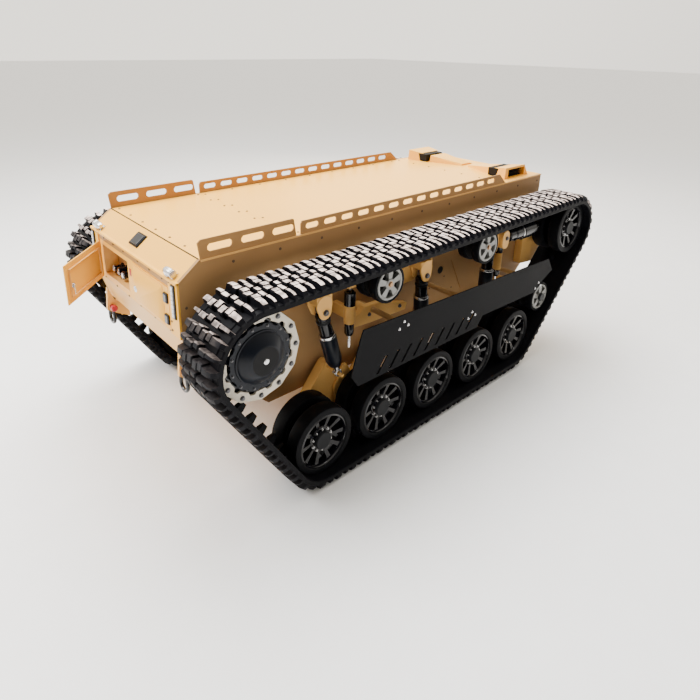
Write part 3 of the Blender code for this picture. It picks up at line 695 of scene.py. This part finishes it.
def build_brackets(name, side):
    """Sand-painted brackets on the hull wall, which hold the dampers and the small cylinders."""
    shape = Shape(side_place(side)).use(SAND)
    for number in DAMPERS:
        x, _, z = joints[f"damper_body_{name}_{number}_tilt"]["pos_m"]
        cheek = rounded([(x, z, 0.026), (x - 0.004, z + 0.030, 0.034)])
        for low in (DAMPER_OUT - 0.028, DAMPER_OUT + 0.020):
            shape.prism(cheek, low, low + 0.008)
        shape.block((x - 0.036, z + 0.030, WALL_ROOT), (x + 0.030, z + 0.062, DAMPER_OUT + 0.026))
    for x, z, tan_top, tan_end, *_ in CYLINDERS:
        shape.block((x - 0.024, z + 0.024, WALL_ROOT), (x + 0.024, z + 0.036, 0.452))
        middle = z - (tan_top + tan_end) / 2
        shape.block((x - 0.012, middle - 0.022, WALL_ROOT), (x + 0.012, middle + 0.022, 0.420))
    shape.block((-0.062, 0.558, WALL_ROOT), (0.040, 0.653, 0.424))
    shape.block((0.040, 0.590, WALL_ROOT), (0.112, 0.653, 0.424))
    shape.prism([(-0.352, 0.495), (-0.300, 0.500), (-0.270, 0.522), (-0.192, 0.518),
                 (-0.031, 0.470), (-0.038, 0.441), (-0.229, 0.446), (-0.352, 0.455)][::-1], 0.400, 0.424)
    shape.prism(rounded([(-0.245, 0.485, 0.028)]), WALL_ROOT, 0.402)
    shape.prism([(0.868, 0.403), (1.072, 0.380), (1.060, 0.585), (0.960, 0.660), (0.900, 0.640),
                 (0.868, 0.540)], 0.352, 0.392)
    shape.piece(f"hull_brackets_{name}", CHASSIS, "sand_paint", bevel=0.002)
    bolts = Shape(side_place(side)).use(BOLT)
    for number in DAMPERS:
        x, _, z = joints[f"damper_body_{name}_{number}_tilt"]["pos_m"]
        bolts.bolt(x, z, DAMPER_OUT + 0.0285, 0.0085, 0.008)
    for x, z in ((-0.245, 0.484), (-0.075, 0.468)):
        bolts.bolt(x, z, 0.424, 0.006, 0.006)
    bolts.piece(f"bracket_bolts_{name}", CHASSIS, "machined_metal")


# x, height, then the lengths down to each end: of the cap, the tan sleeve, the black end and the rod
CYLINDERS = ((-0.355, 0.611, 0.050, 0.121, 0.172, 0.222), (0.585, 0.572, 0.028, 0.111, 0.147, 0.185))
CYLINDER_R = 0.0215


def build_cylinders(name, side):
    """Two upright cylinders with black caps, and the idler's tensioner."""
    for number, (x, z, tan_top, tan_end, black_end, rod_end) in enumerate(CYLINDERS):
        shape = Shape(Matrix.Translation((x, side * 0.432, z)) @ Matrix.Rotation(math.pi, 4, "X"))
        shape.use(GLOSS)
        shape.turned([(0.0, -0.028), (0.007, -0.028), (0.007, -0.010), (0.013, -0.008), (CYLINDER_R, 0.0),
                      (CYLINDER_R, tan_top), (0.0, tan_top)], 28)
        shape.use(SAND).cylinder(CYLINDER_R, tan_top, tan_end, 28)
        shape.use(GLOSS)
        shape.turned([(0.0, tan_end), (0.018, tan_end), (0.018, black_end - 0.010),
                      (0.012, black_end), (0.0, black_end)], 28)
        shape.use(STEEL).cylinder(0.006, black_end, rod_end, 16)
        shape.piece(f"small_cylinder_{name}_{number + 1}", CHASSIS, "black_coat", bevel=0.0008)
    along = Matrix.Translation((0.552, side * 0.472, 0.636)) @ Matrix.Rotation(math.pi / 2, 4, "Y")
    shape = Shape(along).use(GLOSS)
    shape.turned([(0.0, 0.0), (0.018, 0.0), (0.020, 0.02), (0.030, 0.024), (0.030, 0.066), (0.034, 0.070),
                  (0.034, 0.118), (0.0, 0.118)], 36)
    shape.use(STEEL).turned([(0.0, 0.118), (0.037, 0.119), (0.037, 0.125), (0.0, 0.126)], 36)
    shape.use(GLOSS).turned([(0.0, 0.126), (0.040, 0.128), (0.040, 0.222), (0.030, 0.236), (0.0, 0.236)], 36)
    shape.use(STEEL).cylinder(0.013, 0.236, 0.290, 20)
    shape.place = side_place(side)
    shape.use(SAND)
    shape.prism(rounded([(0.530, 0.650, 0.026), (0.530, 0.615, 0.024)]), 0.440, 0.500)
    shape.block((0.505, 0.625, WALL_ROOT), (0.545, 0.665, 0.442))
    shape.use(BOLT).bolt(0.535, 0.640, 0.500, 0.008, 0.007)
    shape.piece(f"idler_tensioner_{name}", CHASSIS, "black_coat", bevel=0.001)


def build_arm_plates(name, side):
    """The upright plate of each two-wheel arm, beside its second wheel."""
    for number, wheel in ((1, 1), (3, 4)):
        x, z = WHEELS[wheel]
        shape = Shape(side_place(side, x, z)).use(SAND)
        shape.prism([(-0.080, -0.085), (-0.020, -0.085), (-0.006, 0.060), (-0.052, 0.138), (-0.068, 0.138),
                     (-0.114, 0.055)], 0.4025, 0.414)
        shape.use(BOLT).bolt(-0.040, -0.010, 0.414, 0.0085, 0.005)
        shape.bolt(-0.050, 0.060, 0.414, 0.005, 0.004)
        shape.piece(f"arm_plate_{name}_{number}", f"swing_arm_{name}_{number}", "sand_paint", bevel=0.0015)


def build_guard_trim(name, side):
    """Bolt heads on the guard plate, three near each post."""
    low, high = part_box(f"guard_plate_{name}")
    face = max(abs(low.y), abs(high.y))
    shape = Shape(side_place(side)).use(STEEL)
    for x, z in ((-0.228, 0.50), (0.193, 0.405), (0.714, 0.392)):
        for dx, dz in ((0.0, 0.013), (0.022, -0.007), (-0.024, -0.010)):
            shape.bolt(x + dx, z + dz, face, 0.0042, 0.004)
    shape.piece(f"guard_bolts_{name}", CHASSIS, "machined_metal")


# ---- hull ----
def build_hull_screws(name, side):
    """Button-head screws on the side wall, the cable port and the slanting seam behind it."""
    shape = Shape(side_place(side)).use(SCREW)
    for i in range(11):
        button(shape, -0.778 + 0.1785 * i, 0.809, HULL_HALF, 0.0052)
    for x, z in ((-0.945, 0.64), (-0.945, 0.70), (0.30, 0.47), (0.36, 0.40), (0.20, 0.44)):
        button(shape, x, z, HULL_HALF, 0.0045)
    shape.piece(f"side_screws_{name}", CHASSIS, "machined_metal")
    # the port's hole drawn as a dark disc: painted shade
    port = Shape(side_place(side)).use(DARK_AND_SHADE)
    port.prism(ring_points(0.268, 0.509, 0.017, 24), HULL_HALF - 0.001, HULL_HALF + 0.0012)
    # the slanting seam in the sand paint darkened as painted shade
    port.use(SHADED_SAND).prism([(0.342, 0.538), (0.347, 0.538), (0.432, 0.380), (0.427, 0.380)][::-1],
                         HULL_HALF - 0.001, HULL_HALF + 0.003)
    port.piece(f"cable_port_{name}", CHASSIS, "black_coat")


def button(shape, x, y, z, radius):
    """A domed screw head with a dimple."""
    rings = [[(px, py, z + lift) for px, py in ring_points(x, y, radius * reach, 12)]
             for reach, lift in ((1.0, -0.0005), (1.0, 0.001), (0.75, 0.0022), (0.4, 0.0024), (0.3, 0.0010))]
    shape.layers(rings)


DECK_SCREW_R = 0.0045


def build_deck_trim():
    """The deck's screws, its edge lips, and the dark seal at its front edge."""
    shape = Shape().use(SCREW)
    for y in [-0.318 + 0.106 * i for i in range(7)]:
        button(shape, SEAM_X - 0.014, y + 0.006, DECK_Z, DECK_SCREW_R)
        button(shape, SEAM_X + 0.014, y - 0.006, DECK_Z, DECK_SCREW_R)
        button(shape, main_high.x - 0.014, y, DECK_Z, DECK_SCREW_R)
        button(shape, deck_low.x + 0.020, y, DECK_Z, DECK_SCREW_R)
    for i in range(8):
        for y in (-0.322, 0.322):
            button(shape, SEAM_X + 0.15 + 0.145 * i, y, DECK_Z, DECK_SCREW_R)
    shape.piece("deck_screws", CHASSIS, "machined_metal")
    lips = Shape().use(SAND)
    for side in SIDES.values():
        a, b = sorted((side * (HULL_HALF - 0.0005), side * (HULL_HALF + 0.0028)))
        lips.block((deck_low.x, a, DECK_Z - 0.006), (1.0370, b, DECK_Z + 0.0004))
    lips.piece("deck_edge_lips", CHASSIS, "sand_paint")
    seal = Shape().use(DARK_AND_SHADE)
    seal.block((deck_low.x - 0.0052, -HULL_HALF + 0.008, DECK_Z - 0.006),
               (deck_low.x + 0.0005, HULL_HALF - 0.008, DECK_Z + 0.0012), 0.0008)
    seal.piece("deck_seal", CHASSIS, "black_coat")


NOSE = Vector((FRONT_X, 0, NOSE_Z)), Vector((NOSE_TOP_X, 0, DECK_Z))


def nose_place(share, y):
    """Local x up the nose slope, local y to the right side and local z out of the slope."""
    along = (NOSE[1] - NOSE[0]).normalized()
    out = along.cross(Vector((0, 1, 0)))
    centre = NOSE[0].lerp(NOSE[1], share)
    return Matrix(((along.x, 0, out.x, centre.x), (0, 1, 0, y), (along.z, 0, out.z, centre.z), (0, 0, 0, 1)))


def build_nose():
    """The sensor block and two corner lamps on the sloping nose."""
    sensor = Shape(nose_place(0.5, 0.010)).use(CHARCOAL)
    sensor.block((-0.026, -0.034, -0.002), (0.026, 0.034, 0.006), 0.004)
    sensor.use(GLOSS).block((-0.020, -0.027, 0.004), (0.020, 0.027, 0.0085), 0.002)
    sensor.piece("nose_sensor", CHASSIS, "black_coat", bevel=0.001)
    for name, side in SIDES.items():
        base = nose_place(0.13, side * 0.290)
        lamp = Shape(base).use(STEEL)
        lamp.block((-0.013, -0.024, -0.002), (0.012, 0.024, 0.003), 0.001)
        across = Matrix.Rotation(-side * math.pi / 2, 4, "X")
        lamp.place = base @ Matrix.Translation((0, -side * 0.027, 0.0125)) @ across
        lamp.turned([(0.0, 0.0), (0.007, 0.001), (0.0115, 0.007), (0.0125, 0.014), (0.0125, 0.036),
                     (0.0105, 0.041), (0.0105, 0.045), (0.0125, 0.047), (0.0125, 0.054), (0.0, 0.055)], 28)
        forward = Matrix.Rotation(-math.pi / 2, 4, "Y")
        lamp.place = base @ Matrix.Translation((-0.010, 0, 0.0125)) @ forward
        lamp.use(LENS)
        lamp.turned([(0.0, 0.0), (0.0085, 0.0), (0.0085, 0.0035), (0.006, 0.0055), (0.0, 0.0062)], 24)
        lamp.piece(f"corner_lamp_{name}", CHASSIS, "machined_metal", bevel=0.0008)


FRAME_OUT = 0.007          # the door frame stands this far in front of the hull


def build_front_frame():
    """The frame round the two doors, its light strips and the front's screws."""
    # the door frame in the lit copy of the sand paint: painted light
    shape = Shape(shape_front(0.0)).use(LIT_SAND)
    for side in SIDES.values():
        a, b = sorted((side * 0.2895, side * (HULL_HALF - 0.0005)))
        shape.block((a, 0.600, -0.003), (b, NOSE_Z, FRAME_OUT))
    # the recessed header band above the doors in painted shade
    shape.use(SHADED_SAND).block((-0.290, 0.7515, -0.003), (0.290, 0.779, 0.0015))
    shape.use(LIT_SAND)
    shape.block((-HULL_HALF + 0.0005, 0.7775, -0.003), (HULL_HALF - 0.0005, 0.7855, FRAME_OUT + 0.004))
    shape.block((-0.018, 0.602, -0.003), (0.018, 0.752, 0.002))
    shape.piece("door_frame", CHASSIS, "sand_paint", bevel=0.0012)
    for name, side in SIDES.items():
        strip = Shape(shape_front(side * 0.327)).use(GLOSS)
        strip.block((-0.010, 0.664, FRAME_OUT - 0.001), (0.010, 0.774, FRAME_OUT + 0.006), 0.002)
        strip.use(LENS)
        for i in range(7):
            low = 0.669 + 0.0145 * i
            strip.block((-0.0055, low, FRAME_OUT + 0.005), (0.0055, low + 0.0125, FRAME_OUT + 0.0085), 0.0018)
        strip.piece(f"light_strip_{name}", CHASSIS, "machined_metal")
    screws = Shape(shape_front(0.0)).use(SCREW)
    for side in SIDES.values():
        for z in (0.615, 0.645, 0.775):
            button(screws, side * 0.300, z, FRAME_OUT, 0.004)
        for y in (0.06, 0.15, 0.24):
            button(screws, side * y, 0.766, 0.0015, 0.004)
        for y in (0.05, 0.16, 0.27):
            button(screws, side * y, 0.601, 0.0, 0.0038)
    screws.piece("front_screws", CHASSIS, "machined_metal")


def shape_front(y):
    """Local x to the right side, local y up and local z forwards, out of the front face."""
    return Matrix(((0, 0, -1, FRONT_X), (1, 0, 0, y), (0, 1, 0, 0), (0, 0, 0, 1)))


def build_compartment(name, side):
    """The recess behind a door: a shallow box with sockets on its back, whose back wall and middle panel are
    darkened as painted shade.
    """
    shape = Shape(shape_front(0.0))
    a, b = sorted((side * 0.037, side * 0.267))
    z0, z1, deep = 0.619, 0.735, -0.050
    shape.use(SAND)
    for low, high in (((a, z0 - 0.001), (b, z0 + 0.002)), ((a, z1 - 0.002), (b, z1 + 0.001)),
                      ((a - 0.001, z0), (a + 0.002, z1)), ((b - 0.002, z0), (b + 0.001, z1))):
        shape.block((*low, deep), (*high, 0.0))
    # the compartment's back wall in painted shade
    shape.use(SHADED_SAND).block((a, z0, deep - 0.002), (b, z1, deep))
    middle = side * 0.115
    # a dark panel in the middle of the back: painted shade in the recess
    shape.use(DARK_AND_SHADE)
    shape.block((middle - 0.034, 0.648, deep - 0.001), (middle + 0.034, 0.726, deep + 0.004), 0.001)
    for i, y in enumerate((0.135, 0.175, 0.215)):
        shape.place = shape_front(side * y) @ Matrix.Translation((0, 0.645 + 0.004 * (i % 2), deep))
        shape.use(GLOSS).turned([(0.0, 0.0), (0.017, 0.0), (0.017, 0.006), (0.013, 0.008), (0.013, 0.026),
                                 (0.015, 0.028), (0.015, 0.036), (0.0, 0.036)], 20)
        shape.use(STEEL).cylinder(0.009, 0.036, 0.0375, 16)
    shape.place = shape_front(0.0)
    if side > 0:  # a plain patch in place of a label
        shape.use(RED).block((0.0050, 0.690, 0.0015), (0.0195, 0.716, 0.0028), 0.0003)
    shape.piece(f"compartment_{name}", CHASSIS, "sand_paint")


def build_door(name, side):
    """A pressed door leaf with a raised tray, a cam lock and two black hinges."""
    body = f"door_{name}"
    joint = joints[body + "_hinge"]
    x, y, _ = joint["pos_m"]
    opened = math.radians(min(joint["range_deg"][0], 0.0))
    place = Matrix.Translation((x, y, 0)) @ Matrix.Rotation(side * opened, 4, "Z") @ Matrix(
        ((0, 0, -1, 0), (-side, 0, 0, 0), (0, 1, 0, 0), (0, 0, 0, 1)))
    # the door leaf in the lit copy of the sand paint: painted light
    shape = Shape(place).use(LIT_SAND)
    z0, z1, wide, back = DOOR_LOW, DOOR_HIGH, DOOR_WIDE, -0.0147
    shape.block((0.001, z0, back), (wide + 0.001, z1, back + 0.004))
    shape.prism([(0.034, z0 + 0.012), (0.045, z0 + 0.004), (wide - 0.006, z0 + 0.004),
                 (wide - 0.006, z1 - 0.004), (0.045, z1 - 0.004), (0.034, z1 - 0.012)],
                back + 0.003, back + 0.0055)
    rings = []
    for inset, lift in ((0.0, 0.0045), (0.0, 0.006), (0.016, 0.0150)):
        x0, x1 = 0.038 + inset, wide - 0.009 - inset * 0.6
        y0, y1 = z0 + 0.007 + inset, z1 - 0.007 - inset
        rings.append([(x, y, back + lift) for x, y in ((x0, y0), (x1, y0), (x1, y1), (x0, y1))])
    shape.layers(rings)
    for low in (z0 + 0.018, z1 - 0.052):
        shape.use(GLOSS)
        shape.block((0.002, low, back + 0.003), (0.026, low + 0.032, back + 0.012), 0.003)
        shape.prism(ring_points(0.006, low + 0.006, 0.002, 8), back + 0.010, back + 0.013)
    latch = (wide - 0.030, 0.668)
    shape.use(STEEL)
    shape.place = place @ Matrix.Translation((latch[0], latch[1], back + 0.0135))
    shape.turned([(0.0, -0.002), (0.0125, -0.002), (0.0125, 0.001), (0.0105, 0.0028), (0.0, 0.0028)], 28)
    # the lock's slot drawn as a dark strip: painted shade
    shape.use(DARK_AND_SHADE).block((-0.0015, -0.006, 0.002), (0.0015, 0.006, 0.0032))
    shape.use(STEEL).cylinder(0.009, -0.022, -0.0125, 20)
    shape.block((-0.004, -0.030, -0.026), (0.004, 0.006, -0.022), 0.001)
    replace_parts(shape.piece(f"front_door_{name}", body, "sand_paint", bevel=0.001), body)
    inside = Shape(place).use(SAND)
    frame_in, deep = 0.0205, back - 0.006
    x0, x1, y0, y1 = frame_in, wide - frame_in, z0 + frame_in, z1 - frame_in
    for low, high in (((x0, y0), (x1, y0 + 0.003)), ((x0, y1 - 0.003), (x1, y1)),
                      ((x0, y0), (x0 + 0.003, y1)), ((x1 - 0.003, y0), (x1, y1))):
        inside.block((*low, deep), (*high, back + 0.001))
    inside.piece(f"door_stiffener_{name}", body, "sand_paint", bevel=0.0008)


BOW_R, WIRE_R = 0.024, 0.0065        # the shackle's bow, and the bar that it is bent from


def build_tow_gear(name, side):
    """A bow shackle with a red pin, hanging from the tow bracket, and the bolted plate beside it."""
    low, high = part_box(f"tow_bracket_{name}")
    x, z, mid = -0.948, 0.462, side * (abs(low.y) + abs(high.y)) / 2
    shape = Shape(Matrix.Translation((x, mid, z)) @ Matrix.Rotation(math.pi / 2, 4, "X"))
    shape.use(RED).cylinder(0.0075, -0.026, 0.024, 20)
    shape.turned([(0.0, 0.024), (0.013, 0.024), (0.013, 0.034), (0.010, 0.037), (0.0, 0.037)], 20)
    shape.place = Matrix.Translation((x, mid, z))
    shape.use(GLOSS)
    turns = [math.radians(-100 + 20 * i) for i in range(11)]
    arc = [(BOW_R * math.sin(t), -0.046 - BOW_R * math.cos(t)) for t in turns]
    bow = [(-0.017, 0.0), *arc, (0.017, 0.0)]
    rings = []
    for i, (y, height) in enumerate(bow):
        before, after = bow[max(i - 1, 0)], bow[min(i + 1, len(bow) - 1)]
        along = Vector((0, after[0] - before[0], after[1] - before[1])).normalized()
        across = along.cross(Vector((1, 0, 0)))
        rings.append([Vector((WIRE_R * math.cos(t), y, height)) + across * WIRE_R * math.sin(t)
                      for t in [2 * math.pi * k / 10 for k in range(10)]])
    shape.layers(rings)
    shape.piece(f"tow_shackle_{name}", CHASSIS, "black_coat")
    plate = Shape(Matrix(((0, 0, -1, -0.900), (side, 0, 0, 0), (0, 1, 0, 0), (0, 0, 0, 1))))
    plate.use(SAND).block((0.334, 0.395, -0.005), (0.392, 0.535, 0.0))
    plate.block((0.334, 0.395, -0.035), (0.339, 0.535, 0.0))
    plate.use(BOLT)
    for z in (0.412, 0.518):
        plate.bolt(0.368, z, 0.0, 0.0055, 0.005)
    plate.piece(f"corner_plate_{name}", CHASSIS, "sand_paint", bevel=0.001)


def build_vents():
    """Dark grilles inside the two raised air outlets, over a dark block that is painted shade."""
    for name, side in SIDES.items():
        shape = Shape(side_place(side)).use(DARK_AND_SHADE)
        # a dark block filling the outlet: painted shade
        shape.block((0.790, DECK_Z + 0.002, 0.200), (0.925, DECK_Z + 0.040, 0.262))
        for i in range(5):
            base = DECK_Z + 0.006 + 0.0085 * i
            shape.block((0.792, base, 0.262), (0.924, base + 0.002, 0.300))
        shape.piece(f"vent_grille_{name}", CHASSIS, "black_coat")


def dress_nodes():
    """Gives each CAD node that stays in view its finish."""
    # the deck and front take the lit copy of the sand paint: painted light
    looks = {
        "hull_front": LIT_SAND, "hull_belly": SAND, "front_deck_panel": LIT_SAND, "main_deck_panel": LIT_SAND,
        "rear_deck_panel": LIT_SAND, "battery_box": DARK_AND_SHADE,
    }
    for name in SIDES:
        # the rails and the hull sides take the sand paint darkened as painted shade
        looks.update({f"front_rail_{name}": SHADED_SAND, f"side_rail_{name}": SHADED_SAND, f"guard_plate_{name}": GUARD,
                      f"tow_bracket_{name}": SAND, f"hull_side_{name}": SHADED_WALL, f"drive_motor_{name}": ALLOY})
        looks.update({f"swing_arm_{name}_{number}": SAND for number in DAMPERS})
    for node, mat in looks.items():
        slots = frame["nodes"][node].data.materials
        slots.clear()
        slots.append(mat)


# ---- studio ----
def build_studio():
    """The floor, the room's light and three lamps."""
    floor = in_scene("floor", Shape().block((-40, -40, -0.02), (40, 40, 0.0)).mesh_data("floor"))
    floor.data.materials.append(finish("floor", (0.90, 0.90, 0.90), 0.6, specular=0.2,
                                       mottle=0.01, grain=0.02))
    build_sky()
    area_light("key", (-2.8, 1.0, 3.6), (-0.1, 0.0, 0.4), 2.4, 250)
    area_light("top", (0.6, 1.0, 4.2), (0.1, 0.0, 0.5), 3.4, 380)
    area_light("back", (3.4, 3.0, 2.2), (0.2, 0.0, 0.6), 2.4, 60, (1.0, 0.80, 0.50))


def build_sky():
    """A pale room, bright behind and above the object and dimmer towards its left side."""
    world = bpy.data.worlds.new("studio")
    world.use_nodes = True
    nodes, links = world.node_tree.nodes, world.node_tree.links
    sky = nodes["Background"]
    sky.inputs["Color"].default_value = (1.0, 0.945, 0.85, 1)
    towards = nodes.new("ShaderNodeVectorMath")
    towards.operation = "DOT_PRODUCT"
    towards.inputs[1].default_value = (0.30, 0.80, 0.52)
    links.new(nodes.new("ShaderNodeTexCoord").outputs["Generated"], towards.inputs[0])
    strength = ramp(nodes, links, towards.outputs["Value"], -0.7, 0.7, 0.08, 2.0)
    links.new(strength, sky.inputs["Strength"])
    bpy.context.scene.world = world


def area_light(name, place, target, size, power, colour=(1.0, 1.0, 1.0)):
    data = bpy.data.lights.new(name, "AREA")
    data.size = size
    data.energy = power
    data.color = colour
    light = in_scene(name, data)
    light.location = place
    light.rotation_euler = (Vector(target) - Vector(place)).to_track_quat("-Z", "Y").to_euler()


def build_camera():
    data = bpy.data.cameras.new("camera")
    data.sensor_width = 36.0
    data.lens = 28.94
    data.shift_x = 0.0229
    data.shift_y = -0.1621
    camera = in_scene("camera", data)
    camera.location = (-1.620, -1.769, 1.454)
    camera.rotation_euler = [math.radians(a) for a in (70.98, -0.97, -41.17)]
    bpy.context.scene.camera = camera


dress_nodes()
wheel_data = wheel_mesh()
roller_data = roller_mesh()
build_deck_trim()
build_nose()
build_front_frame()
build_vents()
for side_name, side_sign in SIDES.items():
    build_track(side_name, side_sign)
    build_wheels(side_name, side_sign, wheel_data, roller_data)
    build_sprocket(side_name, side_sign)
    build_brackets(side_name, side_sign)
    build_cylinders(side_name, side_sign)
    build_guard_trim(side_name, side_sign)
    build_arm_plates(side_name, side_sign)
    build_hull_screws(side_name, side_sign)
    build_compartment(side_name, side_sign)
    build_door(side_name, side_sign)
    build_tow_gear(side_name, side_sign)
    for damper in DAMPERS:
        build_damper(side_name, side_sign, damper)
build_camera()
build_studio()
